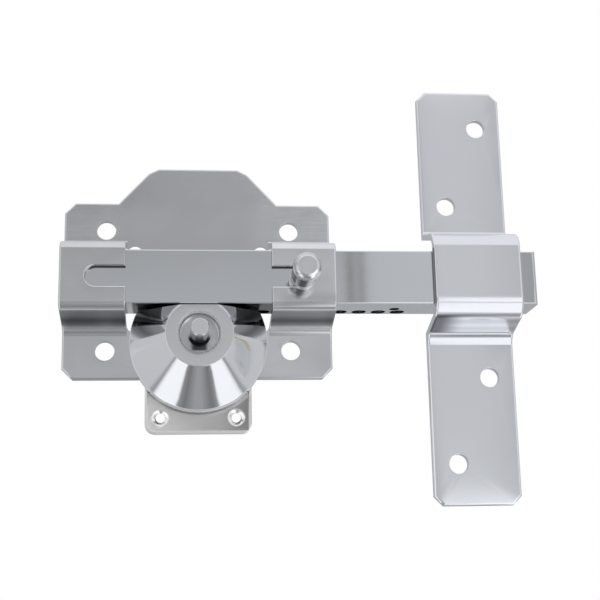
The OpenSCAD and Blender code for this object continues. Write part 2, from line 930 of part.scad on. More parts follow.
module strike_outline() {
    w = strike_w / 2;
    c = strike_cut;
    polygon([[-w + c, -strike_half], [w - c, -strike_half], [w, -strike_half + c],
             [w, strike_half - c], [w - c, strike_half], [-w + c, strike_half],
             [-w, strike_half - c], [-w, -strike_half + c]]);
}

module strike() {
    foot = foot_half(strike_flat, bridge_out, strike_bend, side_slope);
    color(bright)
    on_axis()
    translate([strike_x, 0, 0])
        difference() {
            union() {
                difference() {
                    slab(0, sheet_t)
                        translate([0, strike_up])
                            strike_outline();
                    translate([0, 0, strike_mid])
                        cube([2 * strike_w, 3 * sheet_t, 2 * foot], center = true);
                }
                translate([0, 0, strike_mid])
                    along(-strike_w / 2, strike_w)
                        strap(strike_flat, bridge_out, strike_bend, side_slope,
                              strike_foot, strike_foot_top);
            }
            for (s = [-1, 1]) {
                translate([s * strike_step, 0, strike_up + s * strike_far])
                    rod(-cut, sheet_t + 2 * cut, mount_d / 2);
                translate([-s * strike_step, 0, strike_up + s * strike_near])
                    rod(-cut, sheet_t + 2 * cut, mount_d / 2);
            }
        }
}

lock_plate();
bolt();
bolt_knob();
knob_stud();
cone_rose();
rose_rivets();
push_button();
button_clip();
button_spring();
button_bracket();
lock_pin();
pin_bush();
drive_wheel();
wheel_clip();
tailpiece();
back_plate();
connecting_screws();
cylinder_body();
cylinder_collar();
key_plug();
key_pins();
plug_clip();
driver_pins();
tumbler_springs();
strike();
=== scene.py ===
# %% [markdown]
# # Surface deadbolt
# The frame comes from the CAD model: every part already stands at its true place, in metres.
# X runs along the bolt, Z is up and the viewer stands at -Y. This notebook gives each part the
# small forms that a pressed, turned or plated piece has, and then its finish. Where a place is
# named by its depth, that is how far it stands out from the door, toward the viewer.

# %% Load the frame
import json
from math import radians

import bmesh
import bpy
from mathutils import Matrix, Vector

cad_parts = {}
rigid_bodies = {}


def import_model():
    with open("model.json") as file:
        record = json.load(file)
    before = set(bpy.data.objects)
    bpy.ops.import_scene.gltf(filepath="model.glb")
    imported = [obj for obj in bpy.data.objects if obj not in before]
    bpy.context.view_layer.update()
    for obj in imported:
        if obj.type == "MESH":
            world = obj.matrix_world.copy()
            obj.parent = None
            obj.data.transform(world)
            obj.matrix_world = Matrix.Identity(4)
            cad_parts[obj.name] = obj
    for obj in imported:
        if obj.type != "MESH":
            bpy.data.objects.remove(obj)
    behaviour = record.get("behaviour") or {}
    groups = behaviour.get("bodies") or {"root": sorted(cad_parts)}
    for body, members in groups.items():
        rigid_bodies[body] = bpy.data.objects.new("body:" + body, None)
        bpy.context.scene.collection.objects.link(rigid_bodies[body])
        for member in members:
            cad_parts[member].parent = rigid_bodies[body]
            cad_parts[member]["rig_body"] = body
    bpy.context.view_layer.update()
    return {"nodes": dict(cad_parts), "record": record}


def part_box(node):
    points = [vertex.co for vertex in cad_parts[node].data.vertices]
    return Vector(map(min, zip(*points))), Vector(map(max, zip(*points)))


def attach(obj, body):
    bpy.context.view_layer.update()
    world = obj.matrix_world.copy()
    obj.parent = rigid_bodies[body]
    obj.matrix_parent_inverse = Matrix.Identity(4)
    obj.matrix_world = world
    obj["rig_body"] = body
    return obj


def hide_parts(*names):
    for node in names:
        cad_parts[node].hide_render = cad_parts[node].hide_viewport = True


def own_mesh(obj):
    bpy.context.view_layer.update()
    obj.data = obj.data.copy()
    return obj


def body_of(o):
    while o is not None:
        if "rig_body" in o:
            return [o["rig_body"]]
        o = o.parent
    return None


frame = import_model()
nodes = frame["nodes"]
body_of_node = {n: body_of(o)[0] for n, o in nodes.items()}
slot_of_node = {s["node"]: s["material_slot"] for s in frame["record"]["subparts"]}
mm = 0.001

# %% [markdown]
# ## Places that the finish follows
# Some marks belong to a place on the part: the mouth of the cone, the foot of the knob, the end of
# the bolt. They are read from the boxes of the CAD nodes, so they follow the model when it changes.
# Only the height of the cylinder's axis is stated, because the cone is cut off at its top.

# %% Places from the frame
cone_z = -22 * mm
cone_box, knob_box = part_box("cone_rose"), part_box("bolt_knob")
cone_x = (cone_box[0].x + cone_box[1].x) / 2
cone_radius = cone_box[1].x - cone_x
cone_front = -cone_box[0].y
knob_x = (knob_box[0].x + knob_box[1].x) / 2
knob_z = (knob_box[0].z + knob_box[1].z) / 2
bolt_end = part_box("bolt")[1].x
for label, value in (("cone x", cone_x), ("cone radius", cone_radius), ("cone front", cone_front),
                     ("knob x", knob_x), ("knob z", knob_z), ("bolt end", bolt_end)):
    print(label, round(value / mm, 3), "mm")

# %% [markdown]
# ## Camera
# The photo was taken from a little below and to the left, with a moderate tele lens. The turn is
# built from pan, tilt and roll, because those three read like a tripod head.

# %% Camera
PAN, TILT, ROLL = -5.975, 13.470, 1.265
EYE = Vector((-8.573, -467.846, -115.939)) * mm
LENS, SENSOR_WIDTH = 72.8525, 36.0
NEAREST, FARTHEST = 0.01, 20.0


def rotation(axis, degrees):
    return Matrix.Rotation(radians(degrees), 3, axis)


turn = rotation("Z", PAN) @ rotation("X", TILT) @ rotation("Y", ROLL)
right, forward, up = turn.col[0], turn.col[1], turn.col[2]
camera_data = bpy.data.cameras.new("photo_camera")
camera_data.lens = LENS
camera_data.sensor_width = SENSOR_WIDTH
camera_data.clip_start = NEAREST
camera_data.clip_end = FARTHEST
camera = bpy.data.objects.new("photo_camera", camera_data)
bpy.context.scene.collection.objects.link(camera)
camera.matrix_world = Matrix.Translation(EYE) @ Matrix((right, up, -forward)).transposed().to_4x4()
bpy.context.scene.camera = camera
bpy.context.scene.view_settings.view_transform = "Standard"
print("camera looks along", [round(v, 3) for v in forward])

# %% [markdown]
# ## Small tools for node trees
# `add` makes a node and sets its inputs by name, and `wire` links pairs of sockets. `feed` takes a
# socket or a plain number. With them a material reads from top to bottom like a recipe. `new_group`
# makes a node group, which is the way to use the same effect in several materials.

# %% Node helpers
FLOAT, VECTOR = "NodeSocketFloat", "NodeSocketVector"


def add(tree, kind, values=None, **props):
    node = tree.nodes.new(kind)
    for key, value in props.items():
        setattr(node, key, value)
    for key, value in (values or {}).items():
        node.inputs[key].default_value = value
    return node


def wire(tree, *pairs):
    for out, into in pairs:
        tree.links.new(out, into)


def feed(tree, socket, value):
    if isinstance(value, bpy.types.NodeSocket):
        wire(tree, (value, socket))
    else:
        socket.default_value = value


def new_group(name, inputs, outputs):
    group = bpy.data.node_groups.new(name, "ShaderNodeTree")
    for label, kind, value in inputs:
        socket = group.interface.new_socket(label, in_out="INPUT", socket_type=kind)
        socket.default_value = value
    for label in outputs:
        group.interface.new_socket(label, in_out="OUTPUT", socket_type=FLOAT)
    print("group", name)
    return group, group.nodes.new("NodeGroupInput"), group.nodes.new("NodeGroupOutput")


def use_group(tree, group, values=None):
    return add(tree, "ShaderNodeGroup", values, node_tree=group)

# %% [markdown]
# ## Sums with sockets
# The looks further down are small formulas of position and direction. These helpers write one node
# each, or a few: `calc` for a sum, `product` to join masks, `step` for a soft edge that is 0 at
# `start` and 1 at `full`, `band` for a stripe, `curve` for a value that changes along a list of
# stops, and `blend` to mix two values by a mask.

# %% Formula helpers
def calc(tree, operation, *terms):
    node = add(tree, "ShaderNodeMath", operation=operation)
    for socket, term in zip(node.inputs, terms):
        feed(tree, socket, term)
    return node.outputs[0]


def product(tree, first, *others):
    for other in others:
        first = calc(tree, "MULTIPLY", first, other)
    return first


def step(tree, source, start, full):
    ends = {"From Min": start, "From Max": full}
    node = add(tree, "ShaderNodeMapRange", ends, interpolation_type="SMOOTHSTEP")
    feed(tree, node.inputs["Value"], source)
    return node.outputs["Result"]


def band(tree, source, low, high, soft):
    return product(tree, step(tree, source, low - soft, low), step(tree, source, high + soft, high))


def curve(tree, source, stops, unit=1.0):
    low, high = stops[0][0], stops[-1][0]
    place_on = add(tree, "ShaderNodeMapRange", {"From Min": low * unit, "From Max": high * unit})
    ramp = add(tree, "ShaderNodeValToRGB")
    elements = ramp.color_ramp.elements
    for at, level in stops:
        spot = (at - low) / (high - low)
        element = elements[0] if spot == 0 else elements[-1] if spot == 1 else elements.new(spot)
        element.color = (level, level, level, 1.0)
    wire(tree, (source, place_on.inputs["Value"]), (place_on.outputs["Result"], ramp.inputs["Fac"]))
    return ramp.outputs["Color"]


def blend(tree, first, second, amount):
    node = add(tree, "ShaderNodeMix", data_type="FLOAT")
    for key, term in zip(("A", "B", "Factor"), (first, second, amount)):
        feed(tree, node.inputs[key], term)
    return node.outputs["Result"]

# %% [markdown]
# ## Grain
# Brushed sheet shows thousands of short scratches in one direction. A noise texture whose
# coordinates are squeezed along that direction gives the same streaks: low scale along the
# streak, high scale across it. A second, finer noise is for the roughness.

# %% Group: grain
FINER = 2.3
grain, grain_in, grain_out = new_group(
    "Grain", [("Stretch", VECTOR, (60.0, 900.0, 2600.0)), ("Detail", FLOAT, 5.0)], ["Streaks", "Fine"])
grain_place = add(grain, "ShaderNodeTexCoord")
grain_scale = add(grain, "ShaderNodeVectorMath", operation="MULTIPLY")
grain_noise = add(grain, "ShaderNodeTexNoise", {"Scale": 1.0, "Roughness": 0.62})
fine_scale = add(grain, "ShaderNodeVectorMath", {1: (FINER, FINER, FINER)}, operation="MULTIPLY")
fine_noise = add(grain, "ShaderNodeTexNoise", {"Scale": 1.0, "Detail": 2.0, "Roughness": 0.5})
wire(grain,
     (grain_place.outputs["Object"], grain_scale.inputs[0]),
     (grain_in.outputs["Stretch"], grain_scale.inputs[1]),
     (grain_scale.outputs[0], grain_noise.inputs["Vector"]),
     (grain_in.outputs["Detail"], grain_noise.inputs["Detail"]),
     (grain_scale.outputs[0], fine_scale.inputs[0]),
     (fine_scale.outputs[0], fine_noise.inputs["Vector"]),
     (grain_noise.outputs["Fac"], grain_out.inputs["Streaks"]),
     (fine_noise.outputs["Fac"], grain_out.inputs["Fine"]))

# %% [markdown]
# ## Handling marks
# Plated hardware is never evenly clean. Two soft noises of different size make cloudy patches:
# one for the polish that varies from place to place, one for finger marks.

# %% Group: clouds
MARKS_SMALLER = 4.7
PATCH_RANGE, MARK_RANGE = (0.35, 0.68), (0.5, 0.75)
clouds, cloud_in, cloud_out = new_group("Clouds", [("Size", FLOAT, 60.0)], ["Patches", "Marks"])
cloud_place = add(clouds, "ShaderNodeTexCoord")
wide_noise = add(clouds, "ShaderNodeTexNoise", {"Detail": 3.0, "Roughness": 0.55, "Distortion": 0.4})
small_noise = add(clouds, "ShaderNodeTexNoise", {"Detail": 4.0, "Roughness": 0.6, "Distortion": 0.8})
wire(clouds,
     (cloud_place.outputs["Object"], wide_noise.inputs["Vector"]),
     (cloud_in.outputs["Size"], wide_noise.inputs["Scale"]),
     (cloud_place.outputs["Object"], small_noise.inputs["Vector"]),
     (product(clouds, cloud_in.outputs["Size"], MARKS_SMALLER), small_noise.inputs["Scale"]),
     (step(clouds, wide_noise.outputs["Fac"], *PATCH_RANGE), cloud_out.inputs["Patches"]),
     (step(clouds, small_noise.outputs["Fac"], *MARK_RANGE), cloud_out.inputs["Marks"]))

# %% [markdown]
# ## Worn edges
# Handling polishes the outer edges first. The Geometry node's Pointiness is high on outward edges,
# so a narrow range of it makes a mask that follows every rounded edge.

# %% Group: edge rub
OUTWARD_EDGE = (0.51, 0.58)
edge_rub, _, rub_out = new_group("EdgeRub", [], ["Mask"])
pointiness = add(edge_rub, "ShaderNodeNewGeometry").outputs["Pointiness"]
wire(edge_rub, (step(edge_rub, pointiness, *OUTWARD_EDGE), rub_out.inputs["Mask"]))

# %% [markdown]
# ## Local looks
# Some places differ from the rest of their piece: the fold under a bridge is dull and gets painted
# shade, a punched slot edge gets painted shade, and the underside of the bolt gets painted light and
# shade. Each piece gets one small group that reads where the point lies and which way it faces. It
# puts out a tone of painted light and shade, which scales the base colour, a dullness, which adds
# roughness, and a rise, which bends the normal a little.
#
# The methods of `Look` write the masks. `soft` and `strip` count in millimetres, `turned` counts in
# parts of the normal, `all_of` joins masks, and `shade` lays a tone over another one.

# %% Tools for local looks
class Look:
    def __init__(self, name):
        # The first output is the painted light and shade of the piece; it scales the base colour.
        self.group, _, self.results = new_group(name, [], ["PaintedLight", "Dull", "Rise"])
        coordinates = add(self.group, "ShaderNodeTexCoord")
        place, facing = (add(self.group, "ShaderNodeSeparateXYZ") for _ in range(2))
        wire(self.group, (coordinates.outputs["Object"], place.inputs[0]),
             (coordinates.outputs["Normal"], facing.inputs[0]))
        self.x, self.y, self.z = place.outputs
        self.face_x, self.face_y, self.face_z = facing.outputs
        self.depth = self.calc("MULTIPLY", self.y, -1.0)

    def calc(self, operation, *terms):
        return calc(self.group, operation, *terms)

    def distance(self, x, z, from_x, from_z):
        across, above = self.calc("SUBTRACT", x, from_x), self.calc("SUBTRACT", z, from_z)
        squares = [self.calc("POWER", side, 2.0) for side in (across, above)]
        return self.calc("SQRT", self.calc("ADD", *squares)), across, above

    def soft(self, source, start, full):
        return step(self.group, source, start * mm, full * mm)

    def strip(self, source, low, high, edge):
        return band(self.group, source, low * mm, high * mm, edge * mm)

    def turned(self, source, start, full):
        return step(self.group, source, start, full)

    def all_of(self, *masks):
        return product(self.group, *masks)

    def shade(self, tone, level, mask):
        return blend(self.group, tone, level, mask)

    def by_depth(self, stops):
        return curve(self.group, self.depth, stops, mm)

    def give(self, tone, dull=0.0, rise=0.0):
        for label, value in (("PaintedLight", tone), ("Dull", dull), ("Rise", rise)):
            feed(self.group, self.results.inputs[label], value)
        print("look", self.group.name, "nodes", len(self.group.nodes))
        return self.group


FACING_DOWN, LOWER_HALF, OFF_THE_DOOR = (-0.55, -0.9), (0, -2), (2.9, 3.1)


# The fold under a bridge, which is dull and gets painted shade.
def under_bridge(look):
    down = look.turned(look.face_z, *FACING_DOWN)
    return down, look.all_of(down, look.soft(look.z, *LOWER_HALF), look.soft(look.depth, *OFF_THE_DOOR))

# %% [markdown]
# ## Lock plate
# Under a bridge the sheet turns back to the door. Its colour holds a painted reflection of the shaded
# gap below it, darkest halfway, with a thin painted highlight where the bend begins. This painted
# tone follows the depth. The upper edge of each slot gets painted shade too, but only its inner half,
# because the press rounds the front, and its lower lip gets a painted highlight. Wide and weak painted
# light and shade follow: lighter to the right and on the bridges, darker on the left of the crest and
# low on the right bridge.

# %% Look: lock plate
# Painted light and shade in the fold, by depth in millimetres.
PLATE_RISER_PAINTED_SHADING = [
    (3, 1.0), (3.5, 1.2), (4.3, 1.65), (5.4, 1.6), (6.4, 1.15), (7.2, 0.74), (8.4, 0.50), (9.6, 0.38),
    (10.5, 0.28), (11.2, 0.25), (12, 0.30), (13.6, 0.45), (15.1, 0.59), (17.5, 0.65), (18.4, 0.73),
    (19.1, 0.86), (19.5, 1.5), (19.9, 1.6), (20.2, 1.15), (20.6, 0.92), (21, 1.0)]


def lock_plate_look():
    look = Look("LockPlateLook")
    down, fold = under_bridge(look)
    slot_edge = look.all_of(down, look.soft(look.z, 0, 2), look.strip(look.depth, 19.2, 20.5, 0.3))
    right_side_light = look.soft(look.x, 16, 32)
    crest_left_shade = look.all_of(look.soft(look.x, 5, -25), look.soft(look.z, 26, 40))
    bridge_face_light = look.soft(look.depth, 20.5, 21.5)
    low_right_shade = look.all_of(look.soft(look.depth, 19.8, 20.6), look.soft(look.x, 28, 34),
                            look.soft(look.z, -4, -8))
    slot_lip_highlight = look.all_of(look.strip(look.z, -3.9, 5.7, 0.3), look.turned(look.face_z, 0.2, 0.5),
                           look.soft(look.depth, 20, 20.4), look.soft(look.calc("ABSOLUTE", look.x), 45, 44))
    # Painted shade in the fold and on the slot edge, then wide painted light and shade.
    tone = look.shade(1.0, look.by_depth(PLATE_RISER_PAINTED_SHADING), fold)
    tone = look.shade(tone, 0.10, slot_edge)
    for level, mask in ((1.13, right_side_light), (0.90, crest_left_shade), (1.06, bridge_face_light), (0.84, low_right_shade),
                        (1.5, slot_lip_highlight)):
        tone = look.all_of(tone, look.shade(1.0, level, mask))
    return look.give(tone, look.calc("MAXIMUM", fold, slot_edge))


plate_look = lock_plate_look()

# %% [markdown]
# ## Strike
# The strike is polished brighter. Its bend begins early and softly, which a bump can do without a
# new form: the rise falls off below the start of the bend, so the light rolls over the edge. Under
# its bridges painted light and shade follow the depth, with painted shade near the lock. The side
# that faces the lock gets a painted reflection of the dark gap beside the bolt.

# %% Look: strike
# Painted light and shade under the strike's bridges, by depth in millimetres.
STRIKE_RISER_PAINTED_SHADING = [
    (3, 1.0), (3.6, 1.3), (6.6, 1.3), (7.4, 1.1), (8.6, 0.98), (10.2, 0.92), (11.5, 1.12), (13.2, 1.1),
    (14.5, 0.94), (16.5, 0.94), (17.6, 1.2), (19.6, 1.3), (20.4, 1.3), (20.8, 1.05), (21, 1.0)]
ROLL_START, ROLL_POWER, ROLL_DROP = -5.9 * mm, 1.6, -0.05 * mm


def strike_look_group():
    look = Look("StrikeLook")
    _, fold = under_bridge(look)
    near_lock_shade = look.all_of(look.soft(look.x, 104, 93), look.strip(look.depth, 7, 18.5, 1.5))
    gap_side_shade = look.all_of(look.turned(look.face_x, -0.45, -0.75), look.strip(look.z, -9, 12, 1.5),
                           look.soft(look.depth, 3, 5))
    # Painted shade near the lock and on the side that faces the gap.
    tone = look.shade(look.by_depth(STRIKE_RISER_PAINTED_SHADING), 0.22, near_lock_shade)
    tone = look.shade(1.0, tone, fold)
    tone = look.shade(tone, 0.28, gap_side_shade)
    past_start = look.calc("MAXIMUM", look.calc("SUBTRACT", ROLL_START, look.z), 0.0)
    roll = look.calc("POWER", look.calc("DIVIDE", past_start, 1 * mm), ROLL_POWER)
    front = look.all_of(look.soft(look.depth, 21.6, 21.7), look.soft(look.z, -9.6, -9.0))
    return look.give(tone, fold, look.all_of(roll, front, ROLL_DROP))


strike_look = strike_look_group()

# %% [markdown]
# ## Bolt
# The bar is plated on its face only. Its machined underside is dull, with painted shade above the
# cone and under the left bridge, where no light comes in, and painted light outside the lock and in a
# narrow strip at the left edge of the window. The short end past the strike is a little darker.

# %% Look: bolt
# Painted light and shade of the underside along X, in millimetres.
UNDERSIDE_PAINTED_LIGHT_BY_X = [
    (-60, 0.30), (-27.6, 0.30), (-27.2, 1.45), (-25.6, 1.45), (-25.0, 0.25), (28, 0.25), (40, 1.45),
    (135, 1.45)]
TIP_FROM, TIP_FULL = bolt_end / mm - 7, bolt_end / mm - 5


def bolt_look_group():
    look = Look("BoltLook")
    down = look.turned(look.face_z, -0.8, -0.95)
    above = look.shade(1.0, 0.85, look.soft(look.x, TIP_FROM, TIP_FULL))
    return look.give(look.shade(above, curve(look.group, look.x, UNDERSIDE_PAINTED_LIGHT_BY_X, mm), down), down)


bolt_look = bolt_look_group()

# %% [markdown]
# ## Knob
# The underside of the head and the neck carry a painted reflection of the dark slot in patches, so
# their tone follows the angle round the knob's own axis: dark to the left and below, lighter between.
# The bottom flange gets a painted highlight, and the soft shoulder of the head has two painted bright
# spots low on its rim.

# %% Look: knob
# Painted reflection of the dark slot on the skirt, by angle.
SKIRT_PAINTED_REFLECTION_BY_ANGLE = [
    (-180, 0.08), (-152, 0.04), (-141, 0.06), (-134, 0.65), (-121, 0.60), (-114, 0.03), (-92, 0.04),
    (-82, 0.55), (-50, 0.60), (-25, 0.9), (0, 1.0), (160, 1.0), (172, 0.2), (180, 0.12)]
# Painted highlights and shade on the shoulder, by angle.
SHOULDER_PAINTED_LIGHT_BY_ANGLE = [
    (-180, 0.72), (-155, 0.85), (-140, 1.2), (-125, 0.85), (-80, 0.80), (-68, 1.3), (-36, 1.3), (-22, 0.8),
    (40, 0.72), (60, 0.86), (130, 0.86), (150, 0.72), (180, 0.72)]


def knob_look_group():
    look = Look("KnobLook")
    _, across, above = look.distance(look.x, look.z, knob_x, knob_z)
    angle = look.calc("DEGREES", look.calc("ARCTAN2", above, across))
    skirt = look.all_of(look.turned(look.face_y, -0.45, -0.2), look.strip(look.depth, 24.0, 33.0, 0.6))
    flange = look.soft(look.depth, 23.8, 23.2)
    shoulder = look.all_of(look.soft(look.depth, 33.5, 34.5), look.turned(look.face_y, -0.985, -0.94))
    tone = look.shade(1.0, curve(look.group, angle, SKIRT_PAINTED_REFLECTION_BY_ANGLE), skirt)
    # Painted highlight on the bottom flange.
    tone = look.shade(tone, 1.3, flange)
    return look.give(look.shade(tone, curve(look.group, angle, SHOULDER_PAINTED_LIGHT_BY_ANGLE), shoulder))


knob_look = knob_look_group()

# %% [markdown]
# ## Cone and button
# The recess is deep, so its floor gets painted shade, with a painted shadow under the button and
# painted black in the gap round it. The shoulders beside the bolt get painted shade from the bolt, the
# front ring is a little darker, and the outer rim gets a painted highlight. The lip at the mouth is
# dull and gets painted light, or it would mirror the dark side of the button as a black ring.

# %% Look: cone
def cone_look_group():
    look = Look("ConeLook")
    radius, _, above = look.distance(look.x, look.z, cone_x, cone_z)
    floor_zone = look.all_of(look.soft(radius, 7.2, 6.9), look.strip(look.depth, 20, 22, 1))
    button_gap = look.all_of(look.strip(radius, 3.2, 4.1, 0.25), look.soft(above, 0.5, -1.5))
    shadow = look.all_of(look.soft(look.calc("ABSOLUTE", look.x), 3.6, 2.0),
                         look.strip(above, -5.3, -3.0, 0.9))
    lip = look.all_of(look.strip(radius, 7.1, 8.6, 0.1), look.soft(look.depth, 24.2, 24.4),
                      look.turned(look.face_y, -0.985, -0.95))
    shoulder = look.all_of(look.turned(look.face_y, -0.85, -0.75), look.soft(above, 3.5, 8),
                           look.soft(radius, 13, 13.6))
    ring = step(look.group, look.depth, cone_front - 0.3 * mm, cone_front - 0.1 * mm)
    rim = look.all_of(step(look.group, radius, cone_radius - 0.5 * mm, cone_radius - 0.3 * mm),
                      look.turned(look.face_y, -0.7, -0.4))
    # Painted shade, shadow and highlights over the cone.
    tone = look.shade(1.0, 0.82, floor_zone)
    for level, mask in ((0.14, look.all_of(floor_zone, shadow)), (0.04, look.all_of(floor_zone, button_gap)),
                        (1.3, lip), (0.38, shoulder), (0.93, ring), (1.32, rim)):
        tone = look.shade(tone, level, mask)
    return look.give(tone, look.calc("MAXIMUM", look.all_of(floor_zone, 0.8), look.all_of(lip, 2.2)))


cone_look = cone_look_group()

# %% [markdown]
# The button's side gets painted shade: bright at its flat end and almost black where it enters the
# cone. The small corner round the flat end gets painted shade, a little darker than the end.

# %% Look: button
# Painted shade along the button's side, by depth in millimetres.
BUTTON_SIDE_PAINTED_SHADE_BY_DEPTH = [
    (15, 0.05), (21, 0.06), (22.5, 0.10), (25.7, 0.21), (29.5, 0.32), (33.1, 0.57), (35, 0.95), (37, 1.0)]


def button_look_group():
    look = Look("ButtonLook")
    side = look.turned(look.face_y, -0.6, -0.35)
    corner = band(look.group, look.face_y, -0.93, -0.65, 0.05)
    tone = look.shade(look.shade(1.0, 0.72, corner), look.by_depth(BUTTON_SIDE_PAINTED_SHADE_BY_DEPTH), side)
    return look.give(tone, look.all_of(side, 0.3))


button_look = button_look_group()

# %% [markdown]
# ## Back plate
# The die casting is duller than the sheet. Painted shade darkens it to the right, painted highlights
# brighten its border and the countersinks, and a narrow band of painted light lies round the foot of
# the cone.

# %% Look: back plate
SCREW_X, SCREW_Z = 14.65 * mm, -50 * mm
# Painted light and shade across the plate, by X in millimetres.
ACROSS_PLATE_PAINTED_SHADING = [(-21, 1.27), (-14, 1.24), (0, 1.02), (8, 0.88), (14, 0.67), (21, 0.48)]


def back_plate_look_group():
    look = Look("BackPlateLook")
    side = look.calc("ABSOLUTE", look.x)
    border = look.calc("MAXIMUM", look.soft(side, 19.2, 19.6), look.soft(look.z, -54.9, -55.3))
    from_screw, _, _ = look.distance(side, look.z, SCREW_X, SCREW_Z)
    bright = look.calc("MAXIMUM", border, look.soft(from_screw, 3.6, 3.3))
    from_cone, _, _ = look.distance(look.x, look.z, cone_x, cone_z)
    foot = step(look.group, from_cone, cone_radius + 1.8 * mm, cone_radius + 0.2 * mm)
    # Painted highlights on the border and countersinks, and painted light round the cone's foot.
    tone = look.shade(curve(look.group, look.x, ACROSS_PLATE_PAINTED_SHADING, mm), 1.3, bright)
    return look.give(look.shade(tone, 1.4, foot), look.all_of(bright, -0.4))


back_plate_look = back_plate_look_group()

# %% [markdown]
# ## Where the sheet is brushed
# Only the crest above the bolt shows the brushing clearly. Lower down the sheet was polished after
# pressing, so this mask fades the grain out.

# %% Group: brushed zone
CREST_HEIGHT, CREST_BACK = (16 * mm, 24 * mm), (-6 * mm, -4 * mm)
brushed_zone, _, brushed_out = new_group("BrushedZone", [], ["Mask"])
brushed_place = add(brushed_zone, "ShaderNodeSeparateXYZ")
wire(brushed_zone, (add(brushed_zone, "ShaderNodeTexCoord").outputs["Object"], brushed_place.inputs[0]))
high_up = step(brushed_zone, brushed_place.outputs["Z"], *CREST_HEIGHT)
near_door = step(brushed_zone, brushed_place.outputs["Y"], *CREST_BACK)
wire(brushed_zone, (product(brushed_zone, high_up, near_door), brushed_out.inputs["Mask"]))

# %% [markdown]
# ## One recipe for the plated and bare metals
# All metals here share the same idea: a base colour that drifts a little, a roughness made of
# grain and clouds, smoother edges, and a bump from the grain. Only the numbers and the local group
# differ, so one function mixes them. Where a zone is given, the grain is strong inside it only.

# %% Metal recipe
RUBBED_TINT, RUBBED_POLISH = 1.06, -0.3
PATCH_SHARE, MARK_SHARE = 0.5, 0.5
PLAIN_GRAIN, BRUSHED_GRAIN = 0.2, 1.0
PLAIN_STREAKS, BRUSHED_STREAKS = 0.5, 2.4


def tint(colour, factor):
    return tuple(min(1.0, c * factor) for c in colour) + (1.0,)


def metal(name, colour, *, drift, rough, rough_grain, rough_cloud, stretch, bump, bump_depth, cloud_size,
          look=None, look_rough=0.25, zone=None):
    material = bpy.data.materials.new(name)
    material.use_nodes = True
    tree = material.node_tree
    shader = tree.nodes["Principled BSDF"]
    shader.inputs["Metallic"].default_value = 1.0
    lines = use_group(tree, grain, {"Stretch": stretch}).outputs
    cloud = use_group(tree, clouds, {"Size": cloud_size}).outputs
    edge = use_group(tree, edge_rub).outputs["Mask"]
    grain_amount, streak_gain = 1.0, PLAIN_STREAKS
    if zone:
        mask = use_group(tree, zone).outputs["Mask"]
        grain_amount = blend(tree, PLAIN_GRAIN, BRUSHED_GRAIN, mask)
        streak_gain = blend(tree, PLAIN_STREAKS, BRUSHED_STREAKS, mask)

    ends = {"A": tint(colour, 1 - drift), "B": tint(colour, 1 + drift)}
    drifted = add(tree, "ShaderNodeMix", ends, data_type="RGBA")
    rubbed = add(tree, "ShaderNodeMix", data_type="RGBA")
    rubbed.inputs["B"].default_value = tint(colour, RUBBED_TINT)
    patches = calc(tree, "MULTIPLY_ADD", cloud["Patches"], PATCH_SHARE, PATCH_SHARE / 2)
    centred = calc(tree, "SUBTRACT", lines["Streaks"], 0.5)
    wire(tree, (calc(tree, "MULTIPLY_ADD", centred, streak_gain, patches), drifted.inputs["Factor"]),
         (drifted.outputs["Result"], rubbed.inputs["A"]), (edge, rubbed.inputs["Factor"]))

    streaky = product(tree, lines["Fine"], rough_grain, grain_amount)
    roughness = calc(tree, "ADD", streaky, rough)
    for source, share in ((cloud["Patches"], rough_cloud), (cloud["Marks"], MARK_SHARE * rough_cloud),
                          (edge, RUBBED_POLISH * rough)):
        roughness = calc(tree, "MULTIPLY_ADD", source, share, roughness)

    relief = add(tree, "ShaderNodeBump", {"Strength": bump, "Distance": bump_depth})
    wire(tree, (product(tree, lines["Streaks"], grain_amount), relief.inputs["Height"]))
    base, normal = rubbed.outputs["Result"], relief.outputs["Normal"]
    # The local group's painted light and shade scales the base colour here.
    if look:
        spot = use_group(tree, look).outputs
        toned = add(tree, "ShaderNodeVectorMath", operation="SCALE")
        rolled = add(tree, "ShaderNodeBump", {"Strength": 1.0, "Distance": 1.0})
        wire(tree, (base, toned.inputs[0]), (spot["PaintedLight"], toned.inputs["Scale"]),
             (spot["Rise"], rolled.inputs["Height"]), (normal, rolled.inputs["Normal"]))
        roughness = calc(tree, "MULTIPLY_ADD", spot["Dull"], look_rough, roughness)
        base, normal = toned.outputs[0], rolled.outputs["Normal"]
    wire(tree, (base, shader.inputs["Base Color"]), (roughness, shader.inputs["Roughness"]),
         (normal, shader.inputs["Normal"]))
    return material

# %% [markdown]
# ## The finishes
# `drift` is how far the colour varies, `rough` the base roughness, and `rough_grain` and
# `rough_cloud` what the two textures add to it. `stretch` sets the scale of the grain along X, Y
# and Z, and `look_rough` is how much roughness the local group adds where it is dull.

